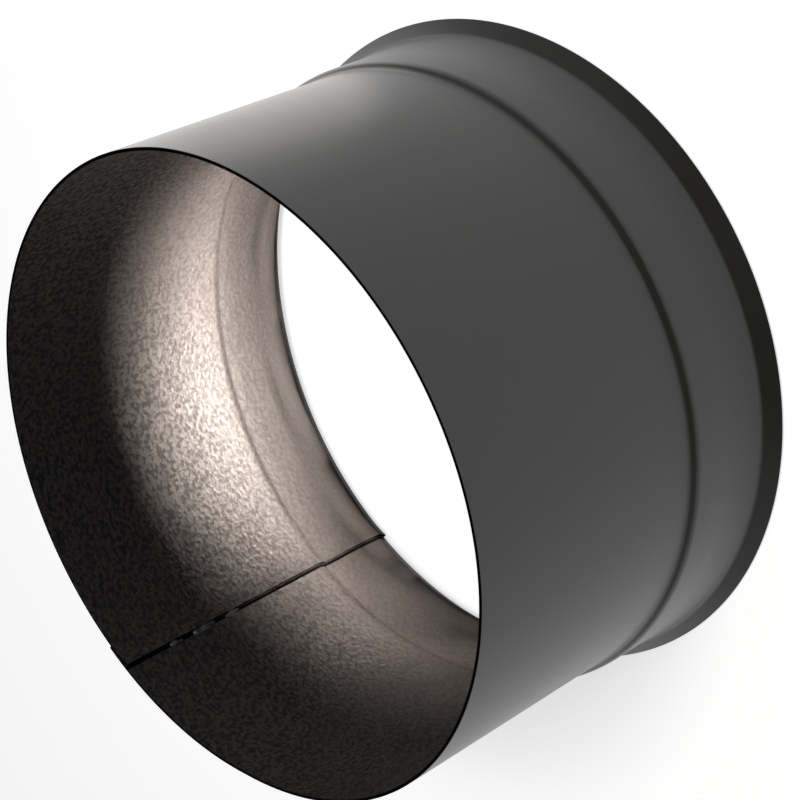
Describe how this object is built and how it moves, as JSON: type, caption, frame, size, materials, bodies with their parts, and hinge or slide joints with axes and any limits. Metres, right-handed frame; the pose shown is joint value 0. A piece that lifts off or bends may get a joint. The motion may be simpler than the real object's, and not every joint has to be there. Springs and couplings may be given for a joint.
{
  "type": "vent pipe adapter",
  "caption": "Short sheet-steel vent pipe adapter: a plain round end on one side, a swaged and flared collar on the other, rolled and closed by one welded lap seam.",
  "frame": {"origin": "centre of the collar's rim plane, where the adapter stands", "axes": "+Z along the tube from the collar's rim to the plain end; +Y towards the lap seam"},
  "size_m": [0.164, 0.1648, 0.094],
  "materials": {
    "adapter_shell": "satin black heat-resistant paint, rougher on the inside"
  },
  "bodies": {
    "root": {"adapter_shell": "adapter_shell"}
  },
  "joints": []
}
